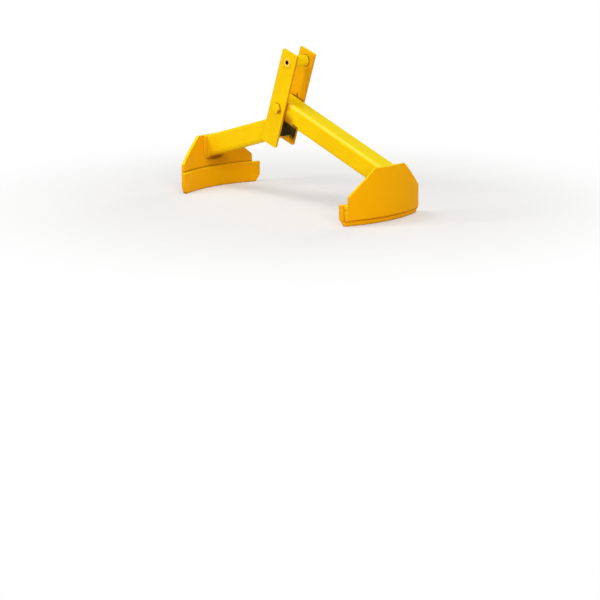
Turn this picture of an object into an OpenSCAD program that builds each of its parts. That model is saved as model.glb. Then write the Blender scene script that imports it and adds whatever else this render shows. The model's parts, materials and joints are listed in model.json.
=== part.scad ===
// Drum lifter. Two arms of square tube meet between a pair of cheek plates:
// one arm is welded there and the other swings on a bolt. A lifting bar joins
// the cheek plates above the bolt, and the rolled jaw on each arm's outer end
// goes under the rim of a steel drum.
// +Z is up, +X points to the swinging arm's jaw and +Y to the rear.
// The origin is the centre of the lifting bar.

/* [Drum] */
// Radius of the gripping faces, which close round the drum's body below its rim
grip_radius = 289; // [270:0.5:300]
// Height of the lifting bar above the top of the drum's rim
rim_drop = 272; // [262:1:290]

/* [Cheek plates] */
// Length of each cheek plate
cheek_length = 237; // [225:1:260]
// Width of each cheek plate
cheek_width = 50; // [46:1:60]
// Thickness of each cheek plate
cheek_thickness = 6; // [4:0.5:12]
// Lean of the cheek plates from upright, towards the swinging arm
cheek_lean = 18.5; // [12:0.5:24]
// Distance from the lifting bar's centre to the upper end of the cheek plates
cheek_top_margin = 26; // [22:0.5:36]
// Radius of the cheek plates' corners
cheek_corner = 4; // [1:0.5:10]

/* [Lifting bar] */
// Outer diameter of the lifting bar between the cheek plates
bar_diameter = 27; // [24:0.5:32]
// Diameter of the lifting bar's ends, which go through the cheek plates
bar_end_diameter = 20; // [16:0.5:22]
// Diameter of the hole through the lifting bar
bar_bore = 10; // [6:0.5:13]
// How far the lifting bar stands out of each cheek plate
bar_stand = 2.5; // [1:0.5:6]
// Chamfer on the mouth of the lifting bar's hole
bar_chamfer = 0.8; // [0.2:0.1:1.5]

/* [Arms] */
// Side of the square tube
tube_size = 50; // [44:1:56]
// Wall of the square tube
tube_wall = 3; // [2.5:0.5:6]
// Outer corner radius of the square tube
tube_corner = 9; // [8:0.5:13]
// Distance down the cheek plates from the lifting bar to the pivot
pivot_drop = 117; // [110:1:124]
// Distance down the cheek plates from the lifting bar to the fixed arm's axis
fixed_arm_drop = 169; // [165:0.5:180]
// Downward slope of the fixed arm, towards its jaw
fixed_arm_slope = 17; // [13:0.5:19]
// Downward slope of the swinging arm, towards its jaw
swing_arm_slope = 20.4; // [18:0.1:22]
// Gap on each side between an arm and its cheek plate
arm_side_gap = 0.5; // [0.3:0.1:1]
// Gap between the swinging arm and the fixed arm's end, which the closing jaws take up
closing_gap = 3.5; // [3:0.1:6]
// Gap between the swinging arm's round end and the fixed arm's end
round_end_gap = 1; // [0.5:0.1:2]
// How far the fixed arm's inner end stays back from the cheek plates' edge
fixed_arm_setback = 1.5; // [0.5:0.5:6]

/* [Pivot] */
// Diameter of the pivot bolt
bolt_diameter = 14; // [10:0.5:16]
// Size across the flats of the bolt's head and of the nut
hex_across = 22; // [19:0.5:27]
// Height of the bolt's head
head_height = 7; // [5:0.5:12]
// Turn of the bolt's head about its axis, clockwise from the front
head_turn = 10; // [0:1:60]
// Height of the nut
nut_height = 12; // [9:0.5:15]
// Length of the bolt's end past the nut
bolt_tip = 5; // [2:0.5:10]
// Outer diameter of the washer
washer_diameter = 28; // [26:0.5:34]
// Thickness of the washer
washer_thickness = 2.5; // [1.5:0.5:5]
// Outer diameter of the bush in the swinging arm
bush_diameter = 22; // [19:0.5:28]
// Radial running gap between the bolt and the bush
running_gap = 0.08; // [0.02:0.01:0.1]
// Radial gap between the bolt and the holes in the cheek plates and the washer
bolt_hole_gap = 0.3; // [0.1:0.05:0.6]

/* [Jaws] */
// Thickness of the jaw plates
jaw_thickness = 8; // [5:0.5:12]
// Width of the jaw plates, along their outer face
jaw_width = 236; // [190:1:250]
// Width of the jaw plates' upper edge, along their outer face
jaw_top_width = 97; // [70:1:140]
// Height of the jaw plates' upper edge above the arms' upper faces
jaw_top_margin = 1.2; // [0.6:0.1:8]
// Height above the top of the rim where the jaw plates' slanted corners start
jaw_shoulder = 3; // [0:1:20]
// Depth of the jaw plates' lower edge below the top of the rim
jaw_skirt = 51; // [40:1:60]
// Thickness of the gripping bands
band_thickness = 10; // [6:0.5:16]
// Width of the gripping bands, along their outer face
band_width = 264; // [256:1:290]
// Depth of the gripping bands' upper edge below the top of the rim
band_top = 15; // [10:0.5:20]
// Depth of the gripping bands' lower edge below the top of the rim
band_bottom = 65; // [55:1:75]
// Width of the gripping bands' cut-off lower corners
band_corner_width = 11; // [4:0.5:20]
// Height of the gripping bands' cut-off lower corners
band_corner_height = 17; // [6:0.5:25]

/* [Welds] */
// Leg of the weld beads on the cheek plates
weld_leg = 4; // [3:0.5:8]
// Leg of the weld beads round the arms' ends, on the jaw plates
arm_weld_leg = 7; // [3:0.5:8]
// Leg of the weld beads up the jaw plates' ends, on the gripping bands
band_weld_leg = 8; // [4:0.5:10]
// Leg of the same beads where they turn in under the jaw plates
return_leg = 5; // [3:0.5:8]
// Length of the beads under the jaw plates
return_length = 20; // [8:1:40]
// Gap left between welded pieces when they are set up
fit_gap = 0.2; // [0.1:0.05:0.4]
// Gap between a weld bead and the pieces that it joins
bead_gap = 0.05; // [0.02:0.01:0.1]

/* [Hidden] */

paint = "#f2c50c";
bare_steel = "#a9abad";
$fn = 96;

// Places along Y, from the middle outwards
cheek_inner = tube_size / 2 + arm_side_gap;
cheek_outer = cheek_inner + cheek_thickness;
bar_end = cheek_outer + bar_stand;

// The pivot, and where the fixed arm's axis crosses the cheek plates' middle line
pivot = down_the_cheek(pivot_drop);
fixed_arm_root = down_the_cheek(fixed_arm_drop);

// Radius of the swinging arm's round end, about the pivot
round_end_radius = tube_size / 2 + closing_gap - round_end_gap;

// Radii about the drum's axis, from the drum outwards
band_outer_radius = grip_radius + band_thickness;
jaw_inner_radius = band_outer_radius + fit_gap;
jaw_outer_radius = jaw_inner_radius + jaw_thickness;

// Height of the jaw plates' upper edge above the top of the rim, set by the arm that meets its plate higher
jaw_rise = jaw_top_margin + max(
    top_at_jaw(fixed_arm_root, fixed_arm_slope, -1),
    top_at_jaw(pivot, swing_arm_slope, 1)
);

// Lengths that pass right through or past the whole part
arm_reach = 2 * jaw_outer_radius;
far_past = 2 * arm_reach;

// Point on the cheek plates' middle line at a distance below the lifting bar
function down_the_cheek(drop) = [-drop * sin(cheek_lean), 0, -drop * cos(cheek_lean)];

// Height above the top of the rim where an arm's axis meets the jaw plate
function height_at_jaw(root, slope, side) =
    rim_drop + root[2] - tan(slope) * (jaw_inner_radius - side * root[0]);

// Height above the top of the rim where an arm's upper face meets the jaw plate
function top_at_jaw(root, slope, side) = height_at_jaw(root, slope, side) + tube_size / 2 / cos(slope);

// Angle that a length along a rolled face takes up
function turn_along(length, radius) = length / radius * 180 / PI;

// Placement helpers

// Turns the children so that their Z axis points along +Y
module along_y() {
    rotate([-90, 0, 0])
        children();
}

// Stands the children in the cheek plates' own frame, leaning with the plates
module in_cheek_frame() {
    rotate([0, cheek_lean, 0])
        children();
}

// Puts the drum's axis and the top of its rim at the children's origin;
// side is 1 for the swinging arm's jaw and -1 for the fixed arm's jaw
module at_drum(side) {
    translate([0, 0, -rim_drop])
        mirror([side < 0 ? 1 : 0, 0, 0])
            children();
}

// Points the children's Z axis from a root outwards and down along an arm
module along_arm(root, slope, side) {
    translate(root)
        rotate([0, side * (90 + slope), 0])
            children();
}

// Shared shapes

// Square with round corners, centred
module round_square(size_x, size_y, corner) {
    square([size_x, size_y - 2 * corner], center = true);
    square([size_x - 2 * corner, size_y], center = true);
    for (x = [-1, 1], y = [-1, 1])
        translate([x * (size_x / 2 - corner), y * (size_y / 2 - corner)])
            circle(corner);
}

// Outer form of the square tube, grown by a gap all round
module tube_core(gap) {
    translate([0, 0, -arm_reach / 2])
        linear_extrude(2 * arm_reach)
            round_square(tube_size + 2 * gap, tube_size + 2 * gap, tube_corner + gap);
}

// Square tube that runs both ways from its root
module tube_stock() {
    bore = tube_size - 2 * tube_wall;
    difference() {
        tube_core(0);
        translate([0, 0, -far_past / 2])
            linear_extrude(2 * far_past)
                round_square(bore, bore, tube_corner - tube_wall);
    }
}

// Upright round space about the drum's axis
module drum_disc(radius) {
    translate([0, 0, -far_past / 2])
        cylinder(r = radius, h = far_past, $fn = 360);
}

// Plate rolled about the drum's axis; its width runs along the outer face
module rolled_plate(inner_radius, outer_radius, width, bottom, top) {
    turn = turn_along(width, outer_radius);
    rotate([0, 0, -turn / 2])
        rotate_extrude(angle = turn, $fn = 180)
            translate([inner_radius, bottom])
                square([outer_radius - inner_radius, top - bottom]);
}

// Wedges that take a slanted corner off each end of a rolled plate, square to the plate;
// low and high are the slant's ends, as [distance along the outer face, height]
module slant_cuts(radius, low, high) {
    low_turn = turn_along(low[0], radius);
    high_turn = turn_along(high[0], radius);
    middle = (low_turn + high_turn) / 2;
    run = radius * sin(high_turn - low_turn);
    rise = high[1] - low[1];
    start = [-run, low[1] - rise / 2];
    end = [run, high[1] + rise / 2];
    for (side = [0, 1])
        mirror([0, side, 0])
            rotate([0, 0, middle])
                rotate([90, 0, 90])
                    linear_extrude(far_past)
                        polygon([start, [far_past, start[1]], [far_past, end[1]], end]);
}

// Hexagon with its corners turned down at the far end, standing on Z = 0
module hexagon(height) {
    corner = hex_across / 2 / cos(30);
    chamfer = corner - hex_across / 2;
    intersection() {
        cylinder(r = corner, h = height, $fn = 6);
        union() {
            cylinder(r = corner, h = height - chamfer);
            translate([0, 0, height - chamfer])
                cylinder(r1 = corner, r2 = hex_across / 2, h = chamfer);
        }
    }
}

// Cheek plates and lifting bar

// One cheek plate, with holes for the lifting bar and the pivot bolt
module cheek(side) {
    middle = cheek_top_margin - cheek_length / 2;
    inner_face = side > 0 ? cheek_inner : -cheek_outer;
    in_cheek_frame()
        translate([0, inner_face, 0])
            along_y()
                linear_extrude(cheek_thickness)
                    difference() {
                        translate([0, -middle])
                            round_square(cheek_width, cheek_length, cheek_corner);
                        circle(bar_end_diameter / 2 + fit_gap);
                        translate([0, pivot_drop])
                            circle(bolt_diameter / 2 + bolt_hole_gap);
                    }
}

module front_cheek() {
    color(paint)
        cheek(-1);
}

module rear_cheek() {
    color(paint)
        cheek(1);
}

// Drilled bar that the hoist's hook takes hold of, turned down at its ends so that
// its shoulders stand against the cheek plates
module lifting_bar() {
    bore = bar_bore / 2;
    mouth = bore + bar_chamfer;
    tip = bar_end_diameter / 2;
    body = bar_diameter / 2;
    shoulder = cheek_inner - bead_gap;
    color(paint)
        along_y()
            rotate_extrude()
                polygon([
                    [bore, -bar_end + bar_chamfer], [mouth, -bar_end], [tip, -bar_end], [tip, -shoulder],
                    [body, -shoulder], [body, shoulder],
                    [tip, shoulder], [tip, bar_end], [mouth, bar_end], [bore, bar_end - bar_chamfer]
                ]);
}

// Ring of weld round one end of the lifting bar
module bar_weld(side) {
    inner = bar_end_diameter / 2 + bead_gap;
    face = cheek_outer + bead_gap;
    color(paint)
        rotate([-90 * side, 0, 0])
            rotate_extrude()
                polygon([[inner, face], [inner + weld_leg, face], [inner, face + bar_stand]]);
}

module front_bar_weld() {
    bar_weld(-1);
}

module rear_bar_weld() {
    bar_weld(1);
}

// Fixed arm

// Fixed arm's tube: fish-mouthed at the jaw, cut under the swinging arm and at the cheek edge
module fixed_arm_tube() {
    color(paint)
        difference() {
            intersection() {
                along_arm(fixed_arm_root, fixed_arm_slope, -1)
                    tube_stock();
                at_drum(-1)
                    drum_disc(jaw_inner_radius - fit_gap);
            }
            translate(pivot)
                rotate([0, swing_arm_slope, 0])
                    translate([-far_past / 2, -far_past / 2, -tube_size / 2 - closing_gap])
                        cube(far_past);
            in_cheek_frame()
                translate([cheek_width / 2 - fixed_arm_setback, -far_past / 2, -far_past / 2])
                    cube(far_past);
        }
}

// Bead along a cheek plate's outer edge, on the fixed arm's side
module cheek_weld(side) {
    lean = cheek_lean + fixed_arm_slope;
    middle = -fixed_arm_drop - cheek_width / 2 * tan(lean);
    half_length = (tube_size / 2 - tube_corner) / cos(lean);
    color(paint)
        in_cheek_frame()
            translate([-cheek_width / 2, side * tube_size / 2, middle - half_length])
                intersection() {
                    cylinder(r = weld_leg, h = 2 * half_length);
                    translate([-weld_leg - bead_gap, side > 0 ? bead_gap : -weld_leg - bead_gap, 0])
                        cube([weld_leg, weld_leg, 2 * half_length]);
                }
}

module front_cheek_weld() {
    cheek_weld(-1);
}

module rear_cheek_weld() {
    cheek_weld(1);
}

// Swinging arm

// Swinging arm's tube: round at the pivot and fish-mouthed at the jaw
module swing_arm_tube() {
    color(paint)
        difference() {
            intersection() {
                along_arm(pivot, swing_arm_slope, 1)
                    tube_stock();
                at_drum(1)
                    drum_disc(jaw_inner_radius - fit_gap);
                union() {
                    translate(pivot)
                        along_y()
                            cylinder(r = round_end_radius, h = far_past, center = true);
                    along_arm(pivot, swing_arm_slope, 1)
                        linear_extrude(arm_reach)
                            square(2 * tube_size, center = true);
                }
            }
            translate(pivot)
                along_y()
                    cylinder(d = bush_diameter + 2 * bead_gap, h = far_past, center = true);
        }
}

// Bush that keeps the bolt from crushing the tube
module pivot_bush() {
    color(bare_steel)
        translate(pivot)
            along_y()
                linear_extrude(tube_size, center = true)
                    difference() {
                        circle(d = bush_diameter);
                        circle(bolt_diameter / 2 + running_gap);
                    }
}

// Pivot bolt, washer and nut

// Hexagon bolt with its head on the front cheek plate
module pivot_bolt() {
    washer_face = cheek_outer + washer_thickness;
    shank = cheek_outer + washer_face + nut_height + bolt_tip;
    point = bolt_diameter / 10;
    color(paint)
        translate([pivot[0], -cheek_outer, pivot[2]]) {
            rotate([90, head_turn, 0])
                hexagon(head_height);
            along_y() {
                cylinder(d = bolt_diameter, h = shank - point);
                translate([0, 0, shank - point])
                    cylinder(d1 = bolt_diameter, d2 = bolt_diameter - 2 * point, h = point);
            }
        }
}

module pivot_washer() {
    color(paint)
        translate([pivot[0], cheek_outer, pivot[2]])
            along_y()
                linear_extrude(washer_thickness)
                    difference() {
                        circle(d = washer_diameter);
                        circle(bolt_diameter / 2 + bolt_hole_gap);
                    }
}

module pivot_nut() {
    color(paint)
        translate([pivot[0], cheek_outer + washer_thickness, pivot[2]])
            along_y()
                difference() {
                    hexagon(nut_height);
                    cylinder(r = bolt_diameter / 2 + bead_gap, h = far_past, center = true);
                }
}

// Shapes of the jaws

// Rolled plate with slanted upper corners
module jaw_plate(side) {
    shoulder = [jaw_width / 2, jaw_shoulder];
    top_corner = [jaw_top_width / 2, jaw_rise];
    color(paint)
        at_drum(side)
            difference() {
                rolled_plate(jaw_inner_radius, jaw_outer_radius, jaw_width, -jaw_skirt, jaw_rise);
                slant_cuts(jaw_outer_radius, shoulder, top_corner);
            }
}

// Rolled band inside the jaw plate, which reaches under the drum's rim
module jaw_band(side) {
    foot = [band_width / 2 - band_corner_width, -band_bottom];
    corner = [band_width / 2, band_corner_height - band_bottom];
    color(paint)
        at_drum(side)
            difference() {
                rolled_plate(grip_radius, band_outer_radius, band_width, -band_bottom, -band_top);
                slant_cuts(band_outer_radius, foot, corner);
            }
}

// Rods of weld round the jaw plate's ends: up each end, round its foot and in under the plate
module band_weld_rods() {
    end_turn = turn_along(jaw_width / 2, jaw_outer_radius);
    return_turn = turn_along(return_length, jaw_outer_radius);
    for (end = [0, 1])
        mirror([0, end, 0]) {
            rotate([0, 0, end_turn])
                translate([band_outer_radius, 0, -jaw_skirt]) {
                    cylinder(r = band_weld_leg, h = jaw_skirt - band_top);
                    sphere(band_weld_leg);
                }
            rotate([0, 0, end_turn - return_turn])
                rotate_extrude(angle = return_turn)
                    translate([band_outer_radius, -jaw_skirt])
                        circle(return_leg);
        }
}

// The rods of weld, without what the plate and the band take up of them
module band_welds(side) {
    past_plate = jaw_outer_radius + band_weld_leg;
    plate_width = jaw_width * past_plate / jaw_outer_radius + 2 * bead_gap;
    color(paint)
        at_drum(side)
            difference() {
                band_weld_rods();
                drum_disc(band_outer_radius + bead_gap);
                rolled_plate(grip_radius, past_plate, plate_width, -jaw_skirt - bead_gap, jaw_rise);
            }
}

// Bead with flat faces all round an arm's end, against the jaw plate and no higher than its upper edge
module arm_weld(root, slope, side) {
    half = tube_size / 2;
    rise = half / cos(slope);
    depth = sqrt(pow(jaw_inner_radius, 2) - pow(half, 2));
    color(paint)
        difference() {
            at_drum(side)
                intersection() {
                    translate([depth, 0, height_at_jaw(root, slope, side)]) {
                        for (y = [-half, half])
                            translate([0, y, -rise])
                                cylinder(r = arm_weld_leg, h = 2 * rise, $fn = 4);
                        for (z = [-rise, rise])
                            translate([0, 0, z])
                                rotate([90, 0, 0])
                                    cylinder(r = arm_weld_leg, h = tube_size, center = true, $fn = 4);
                    }
                    drum_disc(jaw_inner_radius - bead_gap);
                    translate([-far_past / 2, -far_past / 2, jaw_rise - far_past])
                        cube(far_past);
                }
            along_arm(root, slope, side)
                tube_core(bead_gap);
        }
}

// The two jaws

module fixed_arm_weld() {
    arm_weld(fixed_arm_root, fixed_arm_slope, -1);
}

module fixed_jaw_plate() {
    jaw_plate(-1);
}

module fixed_jaw_band() {
    jaw_band(-1);
}

module fixed_band_welds() {
    band_welds(-1);
}

module swing_arm_weld() {
    arm_weld(pivot, swing_arm_slope, 1);
}

module swing_jaw_plate() {
    jaw_plate(1);
}

module swing_jaw_band() {
    jaw_band(1);
}

module swing_band_welds() {
    band_welds(1);
}

front_cheek();
rear_cheek();
lifting_bar();
front_bar_weld();
rear_bar_weld();
fixed_arm_tube();
front_cheek_weld();
rear_cheek_weld();
fixed_arm_weld();
fixed_jaw_plate();
fixed_jaw_band();
fixed_band_welds();
pivot_bolt();
pivot_washer();
pivot_nut();
swing_arm_tube();
pivot_bush();
swing_arm_weld();
swing_jaw_plate();
swing_jaw_band();
swing_band_welds();
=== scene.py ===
import json
import math

import bmesh
import bpy
from mathutils import Matrix, Vector, noise


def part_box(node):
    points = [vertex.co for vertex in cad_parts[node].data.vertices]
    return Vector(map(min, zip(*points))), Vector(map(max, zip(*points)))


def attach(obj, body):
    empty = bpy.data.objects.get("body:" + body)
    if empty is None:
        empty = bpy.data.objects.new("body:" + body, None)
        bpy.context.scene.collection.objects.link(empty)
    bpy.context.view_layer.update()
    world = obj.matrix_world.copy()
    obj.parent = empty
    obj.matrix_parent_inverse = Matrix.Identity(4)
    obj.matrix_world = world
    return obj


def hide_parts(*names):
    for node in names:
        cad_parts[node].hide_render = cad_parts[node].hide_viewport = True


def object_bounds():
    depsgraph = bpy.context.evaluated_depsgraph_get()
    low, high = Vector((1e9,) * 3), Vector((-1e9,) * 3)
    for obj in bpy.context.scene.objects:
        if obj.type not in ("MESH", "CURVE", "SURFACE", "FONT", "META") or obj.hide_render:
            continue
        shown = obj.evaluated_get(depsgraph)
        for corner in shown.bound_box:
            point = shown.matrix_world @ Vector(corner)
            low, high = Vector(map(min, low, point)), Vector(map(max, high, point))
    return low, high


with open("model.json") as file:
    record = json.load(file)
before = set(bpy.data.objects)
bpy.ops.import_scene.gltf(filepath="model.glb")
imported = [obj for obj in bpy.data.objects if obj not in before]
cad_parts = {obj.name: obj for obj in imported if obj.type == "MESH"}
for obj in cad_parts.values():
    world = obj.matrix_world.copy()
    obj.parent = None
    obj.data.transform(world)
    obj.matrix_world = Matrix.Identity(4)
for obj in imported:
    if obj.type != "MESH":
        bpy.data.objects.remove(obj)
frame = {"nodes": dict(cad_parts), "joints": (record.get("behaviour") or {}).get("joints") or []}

CAD_LOW, CAD_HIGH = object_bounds()
NODES = frame["nodes"]

# Camera, from the photograph's view: its place in metres, its angles in degrees, its lens in millimetres
# and how far it sees
CAMERA_PLACE = (4.0119, -3.8844, 0.7832)
CAMERA_AZIMUTH = 45.87
CAMERA_ELEVATION = 13.67
CAMERA_ROLL = -0.11
CAMERA_LENS = 143.87
CAMERA_REACH = 200.0

# Sizes of the lifter that the frame doesn't state, in metres and degrees
SWING_SLOPE = 20.4
FIXED_SLOPE = 17.0
FIXED_ROOT = Vector((-0.0536, 0.0, -0.1603))
CHEEK_LEAN = 18.5
TUBE_SIZE = 0.050
TUBE_WALL = 0.003
TUBE_CORNER = 0.009
BAR_END_RADIUS = 0.010
BAR_BORE_RADIUS = 0.005
BOLT_RADIUS = 0.007
JAW_THICKNESS = 0.008

# The fixed arm's sawn end: how far its cut along the cheek plates is from the lifting bar's axis, and its
# cut along the swinging arm from the pivot's
FIXED_END_CUT = 0.0235
FIXED_TOP_CUT = 0.0285

# Thread on the bolt's end
BOLT_POINT = 0.0014
THREAD_PITCH = 0.002
THREAD_DEPTH = 0.0011
THREAD_RUNOUT = 0.0005
THREAD_SIDES = 48
THREAD_ROW = 0.0002
THREAD_SHARP_ANGLE = 25

# Sizes that follow from the frame and from the sizes above
PIVOT = Vector(frame["joints"][0]["pos_m"])
BAR_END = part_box("lifting_bar")[1].y
CHEEK_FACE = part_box("rear_cheek")[1].y
TUBE_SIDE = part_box("fixed_arm_tube")[1].y
TUBE_ROUND = 4 * (TUBE_SIZE - 2 * TUBE_CORNER) + math.tau * TUBE_CORNER
JAW_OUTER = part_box("swing_jaw_plate")[1].x
JAW_INNER = JAW_OUTER - JAW_THICKNESS
BAND_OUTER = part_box("swing_jaw_band")[1].x
BAND_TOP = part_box("swing_jaw_band")[1].z
JAW_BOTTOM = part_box("swing_jaw_plate")[0].z
JAW_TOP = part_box("swing_jaw_plate")[1].z
JAW_END_TURN = math.asin(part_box("swing_jaw_plate")[1].y / JAW_OUTER)

# Weld beads: their legs, the share of a leg that climbs a jaw plate's end, and the return under its foot
ARM_WELD_LEG = 0.007
CHEEK_WELD_LEG = 0.004
BAND_WELD_LEG = 0.008
BAND_WELD_CLIMB = 0.9
RETURN_LEG = 0.005
RETURN_LENGTH = 0.020

# Shape of a bead: how deep its toes sink, its sections, its thin ends, and its lumps and ripples,
# which each have a row of the noise
BEAD_SINK = 0.0004
BEAD_STEP = 0.0007
BEAD_FAN = 9
BEAD_END_SIZE = 0.35
BEAD_END_TAPER = 1.4
LUMPS_PER_METRE = 130.0
LUMP_ROW = 0.0
RIPPLE_PITCH = 0.0032
RIPPLE_DEPTH = 0.13
RIPPLE_MIDDLE = 0.6
RIPPLE_BOW = 0.35
RIPPLE_JITTER = 0.25
JITTERS_PER_METRE = 90.0
JITTER_ROW = 7.0

# Blob where a band's bead starts: how much it swells, how far it may climb, and its place and sharpness
# counted in legs
BLOB_SWELL = 0.30
BLOB_MOST_CLIMB = 1.1
BLOB_PLACE = 0.7
BLOB_SHARPNESS = 4.0

# Softened edges: what counts as one corner, one flat face and a sharp edge, in metres and degrees,
# and the steps across an edge
MERGE_DISTANCE = 0.00001
FLAT_ANGLE = 0.4
SHARP_ANGLE = 38
EDGE_SEGMENTS = 2

# Depth of the skin that a mask of an end face or of a bore takes in
FACE_SKIN = 0.0006
BORE_SKIN = 0.0003

# Enamel: heights of its bumps, how far the wear on its edges and the painted shade in its corners reach,
# how pale its painted highlights are and how rough its bare ones
PEEL_HEIGHT = 0.00003
WAVE_HEIGHT = 0.00010
EDGE_WEAR_RADIUS = 0.0018
CORNER_SHADE_REACH = 0.006
HIGHLIGHT_STRENGTH = 0.65
BARE_ROUGHNESS = 0.7

# Rings on turned steel: how tight they are along each axis, and their height
RING_SCALES = (20.0, 900.0, 20.0)
RING_HEIGHT = 0.00003

# Colours of the finish, linear
ARM_YELLOW = (0.86, 0.560, 0.003)
# Painted shade: the rear cheek's and the jaws' yellows are the arms' yellow made more orange, as shaded
# copies
SHADED_REAR_YELLOW = (0.84, 0.460, 0.003)
SHADED_JAW_YELLOW = (0.83, 0.390, 0.002)
# Painted light on the faces that look up
LIT_TOP_YELLOW = (0.90, 0.690, 0.003)
# Painted shade on the cheeks' faces that look along X, their cut edges
SHADED_SIDE_ORANGE = (0.66, 0.250, 0.002)
# Paler yellow: worn paint on sharp edges, and painted highlights on ridges, bar ends and weld ripples
PALE_WEAR_AND_HIGHLIGHT = (1.0, 0.60, 0.09)
PAINT_SHEEN = (1.0, 0.80, 0.20, 1.0)
# Orange for painted shade; brown for painted shade and for marks under the fixed arm's weld
PAINTED_SHADE_ORANGE = (0.60, 0.210, 0.003)
MARK_AND_SHADE_BROWN = (0.40, 0.150, 0.004)
# Colour of painted shadows: under the bolt head and under each jaw plate's foot
PAINTED_SHADOW_ORANGE = (0.42, 0.085, 0.002)
# Grime: chips, scuffs, marks and painted shade in corners; soot: bare steel, a weld mark and painted shade
GRIME_AND_SHADE = (0.20, 0.070, 0.004)
SOOT_AND_SHADE = (0.045, 0.022, 0.004)
BARE_STEEL = (0.20, 0.165, 0.055)
RUST = (0.26, 0.150, 0.030)
SAWN_STEEL = (0.050, 0.042, 0.014)
# Bare steel of the bar's hole, darkened nearly to black as painted shade
BORE_STEEL_AND_SHADE = (0.015, 0.013, 0.008)
DULL_STEEL, BRIGHT_STEEL = (0.30, 0.30, 0.31), (0.48, 0.47, 0.46)

# Factors on the paint's colour in its deeper clouds and its paler specks
DEEPER, PALER = (0.95, 0.90, 1.0), (1.04, 1.08, 1.0)

# Ways that a face can look
FRONT, LEFT, RIGHT, UP = (0.0, -1.0, 0.0), (-1.0, 0.0, 0.0), (1.0, 0.0, 0.0), (0.0, 0.0, 1.0)

# Dirty marks, painted shade and painted shadows: where, how far they reach along each axis, how strong and
# how ragged they are, their colour, and the way that the marked faces look
# Painted shadow that the bolt head casts on the front cheek, to the lower right of the head
FRONT_CHEEK_BOLT_SHADOW = (
    ((-0.0275, -0.0315, -0.1190), (0.0085, 0.006, 0.0095), 0.62, 0.3, PAINTED_SHADOW_ORANGE, FRONT),
)
# Painted shadow on the bolt head's lower right flanks
BOLT_FLANK_SHADOW = (
    ((-0.0285, -0.0350, -0.1170), (0.0060, 0.007, 0.0070), 0.65, 0.3, PAINTED_SHADOW_ORANGE, RIGHT),
)
# A dark mark above the swinging arm's top corner; painted shade on the inner face below the fixed arm's
# end
REAR_CHEEK_MARKS_AND_SHADE = (
    ((-0.0260, 0.0255, -0.0855), (0.0055, 0.010, 0.0070), 0.80, 0.9, GRIME_AND_SHADE, FRONT),
    ((-0.0430, 0.0255, -0.1790), (0.0170, 0.010, 0.0240), 0.95, 0.3, SOOT_AND_SHADE, FRONT),
)
# First two: painted shade, orange in the front cheek's shadow and brown low near the pivot; then two dark
# marks
SWING_MARKS_AND_SHADE = (
    ((-0.0050, -0.0250, -0.1060), (0.0120, 0.012, 0.0140), 0.50, 0.10, PAINTED_SHADE_ORANGE, FRONT),
    ((-0.0180, -0.0250, -0.1440), (0.0400, 0.012, 0.0310), 0.95, 0.10, MARK_AND_SHADE_BROWN, FRONT),
    ((0.0140, -0.0250, -0.1490), (0.0085, 0.010, 0.0055), 0.95, 0.4, GRIME_AND_SHADE, FRONT),
    ((0.0205, -0.0250, -0.1525), (0.0085, 0.010, 0.0055), 0.95, 0.4, GRIME_AND_SHADE, FRONT),
)
# The first two are painted shadow in the corner just under each jaw plate's foot, all along it; the third
# is painted shade on the fixed jaw's inner face under its arm, and the last two are marks under the arm's
# weld
JAW_CORNER = JAW_BOTTOM - 0.0016
JAW_MARKS_AND_SHADE = (
    ((JAW_OUTER, 0.0, JAW_CORNER), (0.150, 0.200, 0.0050), 0.48, 0.3, PAINTED_SHADOW_ORANGE, RIGHT),
    ((-JAW_OUTER, 0.0, JAW_CORNER), (0.150, 0.200, 0.0050), 0.48, 0.3, PAINTED_SHADOW_ORANGE, LEFT),
    ((-0.2940, 0.0600, -0.2660), (0.045, 0.110, 0.0500), 0.45, 0.10, PAINTED_SHADE_ORANGE, RIGHT),
    ((-0.2980, 0.0160, -0.2740), (0.030, 0.050, 0.0200), 0.45, 0.25, MARK_AND_SHADE_BROWN, RIGHT),
    ((-0.2980, 0.0080, -0.2660), (0.020, 0.034, 0.0090), 0.60, 0.6, SOOT_AND_SHADE, RIGHT),
)

# Floor: half its width, its gap under the part, its greys, and where its shadow starts to fade and is gone
FLOOR_HALF = 30.0
FLOOR_GAP = 0.0002
FLOOR_GREYS = (0.80, 0.80, 0.80), (0.84, 0.84, 0.84)
SHADOW_NEAR, SHADOW_FAR = 0.25, 0.95

# Light: the fill from all round, the lamps' aim, and each lamp's name, place, size, power and colour
WHITE, WARM = (1.0, 1.0, 1.0), (1.0, 0.93, 0.82)
WORLD_FILL = 0.28
LAMP_AIM = Vector((0.0, 0.0, -0.15))
LAMPS = (
    ("key", (-1.75, -3.0, 0.85), 0.5, 36.0, WHITE),
    ("top", (-0.8, -1.2, 2.6), 1.4, 32.0, WHITE),
    ("side", (1.5, -0.8, 2.4), 1.4, 15.0, WHITE),
    ("front", (3.4, -1.9, 0.9), 1.6, 77.0, WARM),
    ("rear", (-0.5, 3.6, 0.4), 1.6, 60.0, WHITE),
)

# Sockets of the node that mixes two colours
MIX_FACTOR, MIX_FIRST, MIX_SECOND, MIX_RESULT = 0, 6, 7, 2


# Node trees

def add(tree, kind, inputs=None, **settings):
    """Adds a node, sets its options and fills its inputs with values or with other nodes' sockets."""
    node = tree.nodes.new(kind)
    for key, value in settings.items():
        setattr(node, key, value)
    for key, value in (inputs or {}).items():
        if isinstance(value, bpy.types.NodeSocket):
            tree.links.new(value, node.inputs[key])
        else:
            node.inputs[key].default_value = value
    return node


def math_node(tree, operation, *values):
    """Result of a sum on sockets or numbers."""
    return add(tree, "ShaderNodeMath", dict(enumerate(values)), operation=operation).outputs[0]


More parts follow.
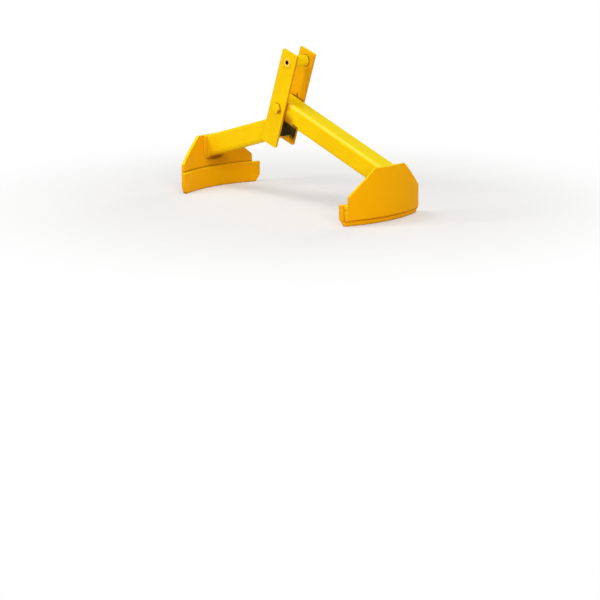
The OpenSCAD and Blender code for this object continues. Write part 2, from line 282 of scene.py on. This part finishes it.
def vector_node(tree, operation, *values):
    """Result of a sum on vectors: a number where the sum gives one, and else a vector."""
    node = add(tree, "ShaderNodeVectorMath", dict(enumerate(values)), operation=operation)
    return node.outputs["Value" if operation in ("DOT_PRODUCT", "LENGTH") else "Vector"]


def ramp(tree, value, low, high, start=0.0, end=1.0):
    """Value stretched from low..high to start..end, and held at the ends."""
    inputs = {"Value": value, "From Min": low, "From Max": high, "To Min": start, "To Max": end}
    return add(tree, "ShaderNodeMapRange", inputs, interpolation_type="SMOOTHSTEP").outputs[0]


def mix_colour(tree, factor, first, second):
    """First colour turning into the second as the factor rises."""
    inputs = {MIX_FACTOR: factor}
    for socket, colour in ((MIX_FIRST, first), (MIX_SECOND, second)):
        inputs[socket] = colour if isinstance(colour, bpy.types.NodeSocket) else (*colour, 1.0)
    return add(tree, "ShaderNodeMix", inputs, data_type="RGBA").outputs[MIX_RESULT]


def noise_value(tree, place, scale, detail=2.0, roughness=0.5):
    """Soft random value over the surface; scale is in spots per metre."""
    inputs = {"Vector": place, "Scale": scale, "Detail": detail, "Roughness": roughness}
    return add(tree, "ShaderNodeTexNoise", inputs).outputs[0]


def new_material(name):
    """Empty material with an output, its tree and the place on the surface in the row's frame."""
    material = bpy.data.materials.new(name)
    material.use_nodes = True
    tree = material.node_tree
    tree.nodes.clear()
    output = add(tree, "ShaderNodeOutputMaterial")
    place = add(tree, "ShaderNodeTexCoord").outputs["Object"]
    return material, tree, output, place


# Finishes

def facing(tree, axis):
    """How squarely the surface looks along an axis of the row's frame, from -1 to 1."""
    return vector_node(tree, "DOT_PRODUCT", add(tree, "ShaderNodeTexCoord").outputs["Normal"], axis)


def past_flats(tree, place, root, slope, side):
    """How far a point of an arm's tube lies past its flat faces, across and up, in its section."""
    turn = math.radians(slope)
    upward = (side * math.sin(turn), 0.0, math.cos(turn))
    flat = TUBE_SIZE / 2 - TUBE_CORNER
    offset = vector_node(tree, "SUBTRACT", place, tuple(root))
    height = vector_node(tree, "DOT_PRODUCT", offset, upward)
    across = add(tree, "ShaderNodeSeparateXYZ", {0: place}).outputs["Y"]
    section = add(tree, "ShaderNodeCombineXYZ", {0: across, 1: height}).outputs[0]
    past = vector_node(tree, "SUBTRACT", vector_node(tree, "ABSOLUTE", section), (flat, flat, 0.0))
    return vector_node(tree, "MAXIMUM", past, (0.0, 0.0, 0.0))


def inside_tube(root, slope, side):
    """Mask of the inner walls of an arm's tube, which are left bare."""
    def mask(tree, place):
        reach = vector_node(tree, "LENGTH", past_flats(tree, place, root, slope, side))
        return math_node(tree, "LESS_THAN", reach, TUBE_CORNER - TUBE_WALL / 2)

    return mask


def sawn_end(tree, place):
    """Mask of the fixed arm's sawn end, which is left bare."""
    lean, slope = math.radians(CHEEK_LEAN), math.radians(SWING_SLOPE)
    across_cheeks = vector_node(tree, "DOT_PRODUCT", place, (math.cos(lean), 0.0, -math.sin(lean)))
    from_pivot = vector_node(tree, "SUBTRACT", place, tuple(PIVOT))
    above_pivot = vector_node(tree, "DOT_PRODUCT", from_pivot, (math.sin(slope), 0.0, math.cos(slope)))
    end_face = math_node(tree, "GREATER_THAN", across_cheeks, FIXED_END_CUT - FACE_SKIN)
    top_face = math_node(tree, "GREATER_THAN", above_pivot, -FIXED_TOP_CUT - FACE_SKIN)
    return math_node(tree, "MAXIMUM", end_face, top_face)


def swing_ridge_highlights(tree, place):
    """Mask of the swinging arm's two upper corners, painted pale as a highlight."""
    past = past_flats(tree, place, PIVOT, SWING_SLOPE, 1)
    sides = add(tree, "ShaderNodeSeparateXYZ", {0: past}).outputs
    corner = ramp(tree, math_node(tree, "MINIMUM", sides["X"], sides["Y"]), 0.0020, 0.0055)
    return math_node(tree, "MULTIPLY", corner, ramp(tree, facing(tree, UP), 0.0, 0.3))


def inside_bar(tree, place):
    """Mask of the wall of the lifting bar's hole, which is left bare and darkened nearly to black as
    painted shade.
    """
    radius = vector_node(tree, "LENGTH", vector_node(tree, "MULTIPLY", place, (1.0, 0.0, 1.0)))
    return math_node(tree, "LESS_THAN", radius, BAR_BORE_RADIUS + BORE_SKIN)


def bar_end_highlights(tree, place):
    """Mask of the lifting bar's two end faces, painted pale as a highlight."""
    across = math_node(tree, "ABSOLUTE", add(tree, "ShaderNodeSeparateXYZ", {0: place}).outputs["Y"])
    return math_node(tree, "GREATER_THAN", across, BAR_END - FACE_SKIN)


def paint_colour(tree, place, colour, shaded_side_colour):
    """Mottled paint, with painted light (a paler yellow) where it looks up and painted shade (the shaded
    side colour) where it looks along X.
    """
    deep = tuple(c * f for c, f in zip(colour, DEEPER))
    pale = tuple(min(1.0, c * f) for c, f in zip(colour, PALER))
    clouds = ramp(tree, noise_value(tree, place, scale=11.0, detail=3.0), 0.35, 0.68)
    base = mix_colour(tree, clouds, colour, deep)
    specks = ramp(tree, noise_value(tree, place, scale=420.0), 0.60, 0.80, end=0.25)
    base = mix_colour(tree, specks, base, pale)
    # Painted shade: faces that look along X take the shaded side colour
    sideways = math_node(tree, "ABSOLUTE", facing(tree, RIGHT))
    base = mix_colour(tree, ramp(tree, sideways, 0.60, 0.92, end=0.85), base, shaded_side_colour)
    # Painted light: faces that look up turn to the lit top yellow
    return mix_colour(tree, ramp(tree, facing(tree, UP), 0.30, 0.90), base, LIT_TOP_YELLOW)


def worn_edges(tree, place, base, worn):
    """Paint pale on the sharp edges, partly worn and partly a painted highlight, and chipped off here and
    there.
    """
    rounded = add(tree, "ShaderNodeBevel", {"Radius": EDGE_WEAR_RADIUS}, samples=6).outputs[0]
    plain = add(tree, "ShaderNodeNewGeometry").outputs["Normal"]
    edge = ramp(tree, vector_node(tree, "DOT_PRODUCT", rounded, plain), 0.985, 0.86)
    thin = ramp(tree, noise_value(tree, place, scale=60.0, detail=3.0), 0.30, 0.70, end=0.75)
    base = mix_colour(tree, math_node(tree, "MULTIPLY", edge, thin), base, PALE_WEAR_AND_HIGHLIGHT)
    flakes = ramp(tree, noise_value(tree, place, scale=95.0, detail=4.0), 0.69 - 0.04 * worn, 0.74)
    return mix_colour(tree, math_node(tree, "MULTIPLY", edge, flakes), base, GRIME_AND_SHADE)


def weld_crests(tree, base):
    """Paint rubbed pale on a bead's crests, and dirt in the hollows between its ripples."""
    point = add(tree, "ShaderNodeNewGeometry").outputs["Pointiness"]
    base = mix_colour(tree, ramp(tree, point, 0.51, 0.60, end=0.45), base, PALE_WEAR_AND_HIGHLIGHT)
    return mix_colour(tree, ramp(tree, point, 0.48, 0.40, end=0.55), base, GRIME_AND_SHADE)


def stain_or_shade(tree, place, spot, reach, ragged, looks):
    """Mask of a dirty spot, or of a patch of painted shade or shadow, on the faces that look one way.

    Reach is how far it goes along each axis, and ragged how uneven its edge is.
    """
    offset = vector_node(tree, "DIVIDE", vector_node(tree, "SUBTRACT", place, spot), reach)
    spread = noise_value(tree, place, scale=260.0, detail=4.0)
    uneven = math_node(tree, "MULTIPLY_ADD", spread, 2.0 * ragged, -ragged)
    distance = math_node(tree, "ADD", vector_node(tree, "LENGTH", offset), uneven)
    turned = ramp(tree, facing(tree, looks), 0.1, 0.4)
    return math_node(tree, "MULTIPLY", ramp(tree, distance, 1.0, 0.35), turned)


def enamel(name, colour, shaded_side_colour=None, bare=(), highlighted=None, crests=False, worn=0.5, stains_and_shade=()):
    """Glossy enamel with wear, grime and marks, and with painted highlights and painted shade.

    Each bare place is a mask and its two colours; a further mask gives the places painted pale as
    highlights.
    """
    material, tree, output, place = new_material(name)
    base = paint_colour(tree, place, colour, shaded_side_colour or colour)
    # Painted highlight: paler yellow over the places that the mask gives
    if highlighted:
        painted_highlight = math_node(tree, "MULTIPLY", highlighted(tree, place), HIGHLIGHT_STRENGTH)
        base = mix_colour(tree, painted_highlight, base, PALE_WEAR_AND_HIGHLIGHT)
    if crests:
        base = weld_crests(tree, base)
    base = worn_edges(tree, place, base, worn)

    # Painted shade: the paint darkens towards grime where the AO finds surfaces close by, in corners and
    # creases
    open_air = add(tree, "ShaderNodeAmbientOcclusion", {"Distance": CORNER_SHADE_REACH}, samples=8).outputs["AO"]
    uneven = ramp(tree, noise_value(tree, place, scale=140.0, detail=4.0), 0.25, 0.75, 0.45, 0.95)
    corner_shade = math_node(tree, "MULTIPLY", ramp(tree, open_air, 0.90, 0.48), uneven)
    base = mix_colour(tree, corner_shade, base, GRIME_AND_SHADE)
    rough_noise = noise_value(tree, place, scale=120.0, detail=5.0, roughness=0.6)
    scuffs = ramp(tree, rough_noise, 0.70, 0.76, end=0.5 * worn)
    base = mix_colour(tree, scuffs, base, GRIME_AND_SHADE)
    # Each mark mixes in its colour: a real mark, or painted shade and shadow where its table says so
    for spot, reach, strength, ragged, mark_colour, looks in stains_and_shade:
        mark = math_node(tree, "MULTIPLY", stain_or_shade(tree, place, spot, reach, ragged, looks), strength)
        base = mix_colour(tree, mark, base, mark_colour)

    shine = ramp(tree, noise_value(tree, place, scale=28.0, detail=4.0), 0.3, 0.75, 0.34, 0.44)
    shine = math_node(tree, "ADD", shine, math_node(tree, "MULTIPLY", corner_shade, 0.3))
    for mask, metal, rusty in bare:
        unpainted = mask(tree, place)
        rust = ramp(tree, noise_value(tree, place, scale=70.0, detail=5.0), 0.45, 0.75)
        base = mix_colour(tree, unpainted, base, mix_colour(tree, rust, metal, rusty))
        shine = math_node(tree, "MAXIMUM", shine, math_node(tree, "MULTIPLY", unpainted, BARE_ROUGHNESS))

    peel = noise_value(tree, place, scale=520.0, roughness=0.4)
    waves = noise_value(tree, place, scale=45.0, roughness=0.4)
    height = math_node(tree, "ADD", math_node(tree, "MULTIPLY", peel, PEEL_HEIGHT),
                       math_node(tree, "MULTIPLY", waves, WAVE_HEIGHT))
    bump = add(tree, "ShaderNodeBump", {"Height": height, "Strength": 0.7, "Distance": 1.0}).outputs[0]

    surface = {"Base Color": base, "Roughness": shine, "Normal": bump,
               "Metallic": 0.10, "Specular IOR Level": 0.02, "Specular Tint": PAINT_SHEEN}
    shader = add(tree, "ShaderNodeBsdfPrincipled", surface)
    tree.links.new(shader.outputs[0], output.inputs[0])
    return material


def turned_steel(name):
    """Oiled steel with the fine rings that turning leaves."""
    material, tree, output, place = new_material(name)
    stretched = vector_node(tree, "MULTIPLY", place, RING_SCALES)
    rings = noise_value(tree, stretched, scale=1.0, detail=3.0)
    base = mix_colour(tree, rings, DULL_STEEL, BRIGHT_STEEL)
    shine = ramp(tree, rings, 0.3, 0.7, 0.24, 0.42)
    height = math_node(tree, "MULTIPLY", rings, RING_HEIGHT)
    bump = add(tree, "ShaderNodeBump", {"Height": height, "Distance": 1.0}).outputs[0]
    surface = {"Base Color": base, "Roughness": shine, "Normal": bump, "Metallic": 1.0}
    shader = add(tree, "ShaderNodeBsdfPrincipled", surface)
    tree.links.new(shader.outputs[0], output.inputs[0])
    return material


def dress(piece, material):
    """Gives a piece its one finish."""
    piece.data.materials.clear()
    piece.data.materials.append(material)


# Pieces built here

def put_in_scene(name, data):
    """New object of a mesh, a lamp or a camera."""
    thing = bpy.data.objects.new(name, data)
    bpy.context.scene.collection.objects.link(thing)
    return thing


def new_piece(node_name, body, material, mesh):
    """Makes a smooth object of a bmesh, which rides on a body and stands for a node."""
    name = "dressed_" + node_name
    data = bpy.data.meshes.new(name)
    bmesh.ops.recalc_face_normals(mesh, faces=mesh.faces)
    mesh.to_mesh(data)
    mesh.free()
    data.polygons.foreach_set("use_smooth", [True] * len(data.polygons))
    piece = put_in_scene(name, data)
    dress(piece, material)
    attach(piece, body)
    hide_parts(node_name)
    return piece


def bead_into(mesh, stations, closed, seed, lump, crown=0.45):
    """Adds one weld bead: stations are (corner, first leg, second leg) along the seam, evenly spaced.

    Lump is how much the bead's size varies. A crown of 0 gives it a flat face, above 0 a bulging one
    and below 0 a hollow one.
    """
    count = len(stations)
    rings = []
    for i, (corner, first, second) in enumerate(stations):
        along = i * BEAD_STEP
        swell = 1.0 + lump * noise.noise(Vector((along * LUMPS_PER_METRE, seed, LUMP_ROW)))
        if not closed:
            from_end = min(i, count - 1 - i) * BEAD_STEP / first.length
            grown = math.sqrt(min(1.0, from_end * BEAD_END_TAPER))
            swell *= BEAD_END_SIZE + (1.0 - BEAD_END_SIZE) * grown
        jitter = RIPPLE_JITTER * noise.noise(Vector((along * JITTERS_PER_METRE, seed, JITTER_ROW)))
        ring = [mesh.verts.new(corner - BEAD_SINK * (first.normalized() + second.normalized()))]
        for k in range(BEAD_FAN + 1):
            turn = math.pi / 2 * k / BEAD_FAN
            bow = math.sin(2 * turn)
            wave = abs(math.sin(math.pi * (along / RIPPLE_PITCH + RIPPLE_BOW * bow + jitter)))
            ripple = 1.0 + RIPPLE_DEPTH * bow * (wave - RIPPLE_MIDDLE)
            flat = 1.0 / (math.cos(turn) + math.sin(turn))
            reach = (flat + (1.0 - flat) * crown) * ripple * swell
            toe = corner + (first * math.cos(turn) + second * math.sin(turn)) * reach
            if k == 0:
                toe = toe - second.normalized() * BEAD_SINK
            if k == BEAD_FAN:
                toe = toe - first.normalized() * BEAD_SINK
            ring.append(mesh.verts.new(toe))
        rings.append(ring)
    size = len(rings[0])
    for i in range(count if closed else count - 1):
        here, there = rings[i], rings[(i + 1) % count]
        for k in range(size):
            mesh.faces.new((here[k], here[(k + 1) % size], there[(k + 1) % size], there[k]))
    if not closed:
        mesh.faces.new(rings[0])
        mesh.faces.new(rings[-1])


def straight_stations(start, end, first, second):
    """Evenly spaced stations of a straight seam."""
    count = round((end - start).length / BEAD_STEP)
    return [(start.lerp(end, i / count), first, second) for i in range(count + 1)]


def bar_weld(name, side):
    """Ring of weld where the lifting bar comes out of a cheek plate."""
    stand = BAR_END - CHEEK_FACE
    count = round(math.tau * BAR_END_RADIUS / BEAD_STEP)
    stations = []
    for i in range(count):
        turn = math.tau * i / count
        outward = Vector((math.cos(turn), 0.0, math.sin(turn)))
        corner = outward * BAR_END_RADIUS + Vector((0.0, side * CHEEK_FACE, 0.0))
        stations.append((corner, Vector((0.0, side * stand, 0.0)), outward * CHEEK_WELD_LEG))
    mesh = bmesh.new()
    bead_into(mesh, stations, closed=True, seed=3.0 + side, lump=0.12)
    new_piece(name, "frame", CHEEK_WELD_PAINT, mesh)


def cheek_weld(name, side):
    """Straight bead along a cheek plate's edge, on the fixed arm's side."""
    low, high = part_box(name)
    lean = math.radians(CHEEK_LEAN)
    up = Vector((math.sin(lean), 0.0, math.cos(lean)))
    outward = Vector((-math.cos(lean), 0.0, math.sin(lean)))
    bead_middle = Vector(((low.x + high.x) / 2, side * TUBE_SIDE, (low.z + high.z) / 2))
    seam_middle = bead_middle - outward * CHEEK_WELD_LEG / 2
    half = (high.z - low.z - CHEEK_WELD_LEG * math.sin(lean)) / 2 / math.cos(lean)
    stations = straight_stations(
        seam_middle - up * half, seam_middle + up * half,
        outward * CHEEK_WELD_LEG, Vector((0.0, side * CHEEK_WELD_LEG, 0.0)))
    mesh = bmesh.new()
    bead_into(mesh, stations, closed=False, seed=11.0 + side, lump=0.15)
    new_piece(name, "frame", CHEEK_WELD_PAINT, mesh)


def tube_outline(count):
    """Evenly spaced points round the tube's section, as (across, up), each with its outward normal."""
    straight = TUBE_SIZE - 2 * TUBE_CORNER
    quarter_round = TUBE_ROUND / 4
    points = []
    for i in range(count):
        run = i / count * TUBE_ROUND
        quarter = int(run // quarter_round)
        run -= quarter * quarter_round
        if run < straight:
            spot = Vector((TUBE_SIZE / 2, run - straight / 2))
            normal = Vector((1.0, 0.0))
        else:
            turn = (run - straight) / TUBE_CORNER
            normal = Vector((math.cos(turn), math.sin(turn)))
            spot = Vector((straight / 2, straight / 2)) + normal * TUBE_CORNER
        spin = Matrix.Rotation(quarter * math.pi / 2, 2)
        points.append((spin @ spot, spin @ normal))
    return points


def arm_weld(name, body, root, slope, side):
    """Bead all round an arm's end, where it meets the rolled jaw plate."""
    turn = math.radians(slope)
    down_arm = Vector((side * math.cos(turn), 0.0, -math.sin(turn)))
    upward = Vector((side * math.sin(turn), 0.0, math.cos(turn)))
    across = Vector((0.0, 1.0, 0.0))
    stations = []
    for spot, normal in tube_outline(round(TUBE_ROUND / BEAD_STEP)):
        line = root + across * spot.x + upward * spot.y
        depth = math.sqrt(JAW_INNER ** 2 - line.y ** 2)
        corner = line + down_arm * ((side * depth - line.x) / down_arm.x)
        plate = Vector((corner.x, corner.y, 0.0)).normalized()
        outward = across * normal.x + upward * normal.y
        outward = (outward - plate * outward.dot(plate)).normalized()
        leg = ARM_WELD_LEG
        if outward.z > 0.0:
            leg = min(leg, (JAW_TOP - corner.z) / outward.z)
        stations.append((corner, -down_arm * ARM_WELD_LEG, outward * leg))
    mesh = bmesh.new()
    bead_into(mesh, stations, closed=True, seed=23.0 + side, lump=0.16, crown=-0.15)
    new_piece(name, body, JAW_WELD_PAINT, mesh)


def band_weld_stations(side, end):
    """Stations of the bead down one end of a jaw plate, round its foot and in under the plate."""
    def at_turn(turn):
        radial = Vector((side * math.cos(turn), end * math.sin(turn), 0.0))
        along = Vector((-side * math.sin(turn), end * math.cos(turn), 0.0))
        return radial, along

    down = Vector((0.0, 0.0, -1.0))
    radial, along = at_turn(JAW_END_TURN)
    head = radial * BAND_OUTER + Vector((0.0, 0.0, BAND_TOP))
    foot = radial * BAND_OUTER + Vector((0.0, 0.0, JAW_BOTTOM))
    out_leg, climb_leg = along * BAND_WELD_LEG, radial * BAND_WELD_LEG * BAND_WELD_CLIMB
    stations = []
    for corner, first, second in straight_stations(head, foot, out_leg, climb_leg):
        from_head = (head.z - corner.z) / BAND_WELD_LEG
        blob = 1.0 + BLOB_SWELL * math.exp(-(from_head - BLOB_PLACE) ** 2 * BLOB_SHARPNESS)
        stations.append((corner, first * blob, second * min(blob, BLOB_MOST_CLIMB)))
    fan = round(math.pi / 2 * BAND_WELD_LEG / BEAD_STEP)
    for i in range(1, fan):
        part = i / fan
        leg = BAND_WELD_LEG + (RETURN_LEG - BAND_WELD_LEG) * part
        outward = along * math.cos(part * math.pi / 2) + down * math.sin(part * math.pi / 2)
        stations.append((foot, outward * leg, radial * leg * BAND_WELD_CLIMB))
    count = round(RETURN_LENGTH / BEAD_STEP)
    for i in range(count + 1):
        radial, along = at_turn(JAW_END_TURN - i * BEAD_STEP / BAND_OUTER)
        corner = radial * BAND_OUTER + Vector((0.0, 0.0, JAW_BOTTOM))
        stations.append((corner, down * RETURN_LEG, radial * RETURN_LEG * BAND_WELD_CLIMB))
    return stations


def band_welds(name, body, side):
    """Beads where the jaw plate's two ends meet the gripping band."""
    mesh = bmesh.new()
    for end in (-1, 1):
        stations = band_weld_stations(side, end)
        bead_into(mesh, stations, closed=False, seed=41.0 + 2 * side + end, lump=0.38)
    new_piece(name, body, JAW_WELD_PAINT, mesh)


def thread_into(mesh, start, tip):
    """Adds the bolt's threaded end along Y, closed at its tip, and gives the edges of its open start."""
    rows = []
    for i in range(round((tip - start) / THREAD_ROW) + 1):
        y = min(start + i * THREAD_ROW, tip)
        widest = BOLT_RADIUS - max(0.0, y - tip + BOLT_POINT)
        row = []
        for j in range(THREAD_SIDES):
            turn = math.tau * j / THREAD_SIDES
            phase = (y / THREAD_PITCH - j / THREAD_SIDES) % 1.0
            radius = min(widest, BOLT_RADIUS - THREAD_DEPTH * abs(2.0 * phase - 1.0))
            spot = PIVOT + Vector((radius * math.cos(turn), 0.0, radius * math.sin(turn)))
            row.append(mesh.verts.new((spot.x, y, spot.z)))
        rows.append(row)
    for here, there in zip(rows, rows[1:]):
        for j in range(THREAD_SIDES):
            k = (j + 1) % THREAD_SIDES
            mesh.faces.new((here[j], here[k], there[k], there[j]))
    mesh.faces.new(rows[-1])
    return [mesh.edges.get((rows[0][j - 1], rows[0][j])) for j in range(THREAD_SIDES)]


def threaded_bolt(name):
    """The pivot bolt, with a thread on the end that stands out of the nut."""
    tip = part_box(name)[1].y
    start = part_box("pivot_nut")[1].y - THREAD_PITCH
    mesh = bmesh.new()
    mesh.from_mesh(NODES[name].data)
    bmesh.ops.remove_doubles(mesh, verts=mesh.verts, dist=MERGE_DISTANCE)
    everything = mesh.verts[:] + mesh.edges[:] + mesh.faces[:]
    cut = bmesh.ops.bisect_plane(
        mesh, geom=everything, plane_co=(0.0, start, 0.0), plane_no=(0.0, 1.0, 0.0), clear_outer=True)
    rim = [part for part in cut["geom_cut"] if isinstance(part, bmesh.types.BMEdge)]
    bmesh.ops.bridge_loops(mesh, edges=rim + thread_into(mesh, start + THREAD_RUNOUT, tip))
    piece = new_piece(name, "frame", BOLT_PAINT, mesh)
    piece.data.set_sharp_from_angle(angle=math.radians(THREAD_SHARP_ANGLE))


# Softened edges of the pieces that the frame gives

def soften(node, width):
    """Breaks a piece's sharp edges, as paint over a deburred edge does."""
    weld = node.modifiers.new("joined_corners", "WELD")
    weld.merge_threshold = MERGE_DISTANCE
    flat = node.modifiers.new("flat_faces", "DECIMATE")
    flat.decimate_type = "DISSOLVE"
    flat.angle_limit = math.radians(FLAT_ANGLE)
    bevel = node.modifiers.new("soft_edges", "BEVEL")
    bevel.width = width
    bevel.segments = EDGE_SEGMENTS
    bevel.limit_method = "ANGLE"
    bevel.angle_limit = math.radians(SHARP_ANGLE)
    normals = node.modifiers.new("even_shading", "WEIGHTED_NORMAL")
    normals.keep_sharp = False


# The lifter's finishes, and the pieces that they go on

FRONT_CHEEK_PAINT = enamel("front_cheek_paint", ARM_YELLOW, SHADED_SIDE_ORANGE, stains_and_shade=FRONT_CHEEK_BOLT_SHADOW)
REAR_CHEEK_PAINT = enamel("rear_cheek_paint", SHADED_REAR_YELLOW, SHADED_SIDE_ORANGE, stains_and_shade=REAR_CHEEK_MARKS_AND_SHADE)
BAR_PAINT = enamel("bar_paint", ARM_YELLOW, bare=[(inside_bar, BORE_STEEL_AND_SHADE, SOOT_AND_SHADE)], highlighted=bar_end_highlights)
FIXED_PAINT = enamel(
    "fixed_arm_paint", ARM_YELLOW,
    bare=[(inside_tube(FIXED_ROOT, FIXED_SLOPE, -1), BARE_STEEL, RUST), (sawn_end, SAWN_STEEL, SOOT_AND_SHADE)])
SWING_PAINT = enamel(
    "swing_arm_paint", ARM_YELLOW, highlighted=swing_ridge_highlights, stains_and_shade=SWING_MARKS_AND_SHADE,
    bare=[(inside_tube(PIVOT, SWING_SLOPE, 1), BARE_STEEL, RUST)])
JAW_PAINT = enamel("jaw_paint", SHADED_JAW_YELLOW, stains_and_shade=JAW_MARKS_AND_SHADE)
CHEEK_WELD_PAINT = enamel("cheek_weld_paint", ARM_YELLOW, crests=True)
JAW_WELD_PAINT = enamel("jaw_weld_paint", SHADED_JAW_YELLOW, crests=True, stains_and_shade=JAW_MARKS_AND_SHADE)
BOLT_PAINT = enamel("bolt_paint", ARM_YELLOW, worn=1.0, stains_and_shade=BOLT_FLANK_SHADOW)
BUSH_STEEL = turned_steel("bush_steel_turned")

# Each node that stays, with its finish and the width of its softened edges
FINISHES = {
    "front_cheek": (FRONT_CHEEK_PAINT, 0.0009),
    "rear_cheek": (REAR_CHEEK_PAINT, 0.0009),
    "lifting_bar": (BAR_PAINT, 0.0007),
    "fixed_arm_tube": (FIXED_PAINT, 0.0005),
    "fixed_jaw_plate": (JAW_PAINT, 0.0012),
    "fixed_jaw_band": (JAW_PAINT, 0.0010),
    "pivot_washer": (BOLT_PAINT, 0.0005),
    "pivot_nut": (BOLT_PAINT, 0.0004),
    "swing_arm_tube": (SWING_PAINT, 0.0005),
    "pivot_bush": (BUSH_STEEL, 0.0004),
    "swing_jaw_plate": (JAW_PAINT, 0.0012),
    "swing_jaw_band": (JAW_PAINT, 0.0010),
}
for node_name, (finish, edge_width) in FINISHES.items():
    dress(NODES[node_name], finish)
    soften(NODES[node_name], edge_width)

bar_weld("front_bar_weld", -1)
bar_weld("rear_bar_weld", 1)
cheek_weld("front_cheek_weld", -1)
cheek_weld("rear_cheek_weld", 1)
arm_weld("fixed_arm_weld", "frame", FIXED_ROOT, FIXED_SLOPE, -1)
arm_weld("swing_arm_weld", "swing_arm", PIVOT, SWING_SLOPE, 1)
band_welds("fixed_band_welds", "frame", -1)
band_welds("swing_band_welds", "swing_arm", 1)
threaded_bolt("pivot_bolt")


# Stage: floor, light and camera

def seen_white(tree):
    """1 for rays from the camera, a reflection or glass, and 0 for the rays that light the part."""
    path = add(tree, "ShaderNodeLightPath").outputs
    seen = math_node(tree, "MAXIMUM", path["Is Camera Ray"], path["Is Glossy Ray"])
    return math_node(tree, "MAXIMUM", seen, path["Is Transmission Ray"])


def white_floor():
    """Pale floor that keeps the shadow near the part and turns to plain white further out."""
    material, tree, output, place = new_material("pale_floor")
    tone = mix_colour(tree, noise_value(tree, place, scale=40.0, detail=3.0), *FLOOR_GREYS)
    matte = add(tree, "ShaderNodeBsdfDiffuse", {"Color": tone}).outputs[0]
    white = add(tree, "ShaderNodeEmission", {"Strength": 1.0}).outputs[0]
    far_off = ramp(tree, vector_node(tree, "LENGTH", place), SHADOW_NEAR, SHADOW_FAR, start=0.35)
    factor = math_node(tree, "MULTIPLY", far_off, seen_white(tree))
    shader = add(tree, "ShaderNodeMixShader", {0: factor, 1: matte, 2: white})
    tree.links.new(shader.outputs[0], output.inputs[0])

    mesh = bmesh.new()
    signs = (-1, -1), (1, -1), (1, 1), (-1, 1)
    mesh.faces.new([mesh.verts.new((x * FLOOR_HALF, y * FLOOR_HALF, 0.0)) for x, y in signs])
    data = bpy.data.meshes.new("floor")
    mesh.to_mesh(data)
    mesh.free()
    data.materials.append(material)
    floor = put_in_scene("floor", data)
    floor.location.z = CAD_LOW.z - FLOOR_GAP


def white_world():
    """Even light from all round, with a white background in the camera and in reflections."""
    world = bpy.data.worlds.new("studio")
    world.use_nodes = True
    bpy.context.scene.world = world
    tree = world.node_tree
    tree.nodes.clear()
    fill = add(tree, "ShaderNodeBackground", {"Color": (*WHITE, 1.0), "Strength": WORLD_FILL}).outputs[0]
    white = add(tree, "ShaderNodeBackground", {"Color": (*WHITE, 1.0), "Strength": 1.0}).outputs[0]
    shader = add(tree, "ShaderNodeMixShader", {0: seen_white(tree), 1: fill, 2: white})
    output = add(tree, "ShaderNodeOutputWorld")
    tree.links.new(shader.outputs[0], output.inputs[0])


def lamp(name, place, size, power, colour):
    """Soft square lamp aimed at the part's middle."""
    data = bpy.data.lights.new(name, "AREA")
    data.color = colour
    data.size = size
    data.energy = power
    light = put_in_scene(name, data)
    light.location = place
    light.rotation_euler = (LAMP_AIM - Vector(place)).to_track_quat("-Z", "Y").to_euler()


def camera():
    """Camera at the photograph's viewpoint, with the photograph's framing."""
    data = bpy.data.cameras.new("view")
    data.lens = CAMERA_LENS
    data.clip_end = CAMERA_REACH
    view = put_in_scene("view", data)
    azimuth, elevation = math.radians(CAMERA_AZIMUTH), math.radians(CAMERA_ELEVATION)
    upright = Matrix.Rotation(azimuth, 4, "Z") @ Matrix.Rotation(math.pi / 2 - elevation, 4, "X")
    turned = upright @ Matrix.Rotation(math.radians(CAMERA_ROLL), 4, "Z")
    view.matrix_world = Matrix.Translation(CAMERA_PLACE) @ turned
    bpy.context.scene.camera = view


white_floor()
white_world()
for lamp_values in LAMPS:
    lamp(*lamp_values)
camera()
bpy.context.scene.view_settings.view_transform = "Standard"
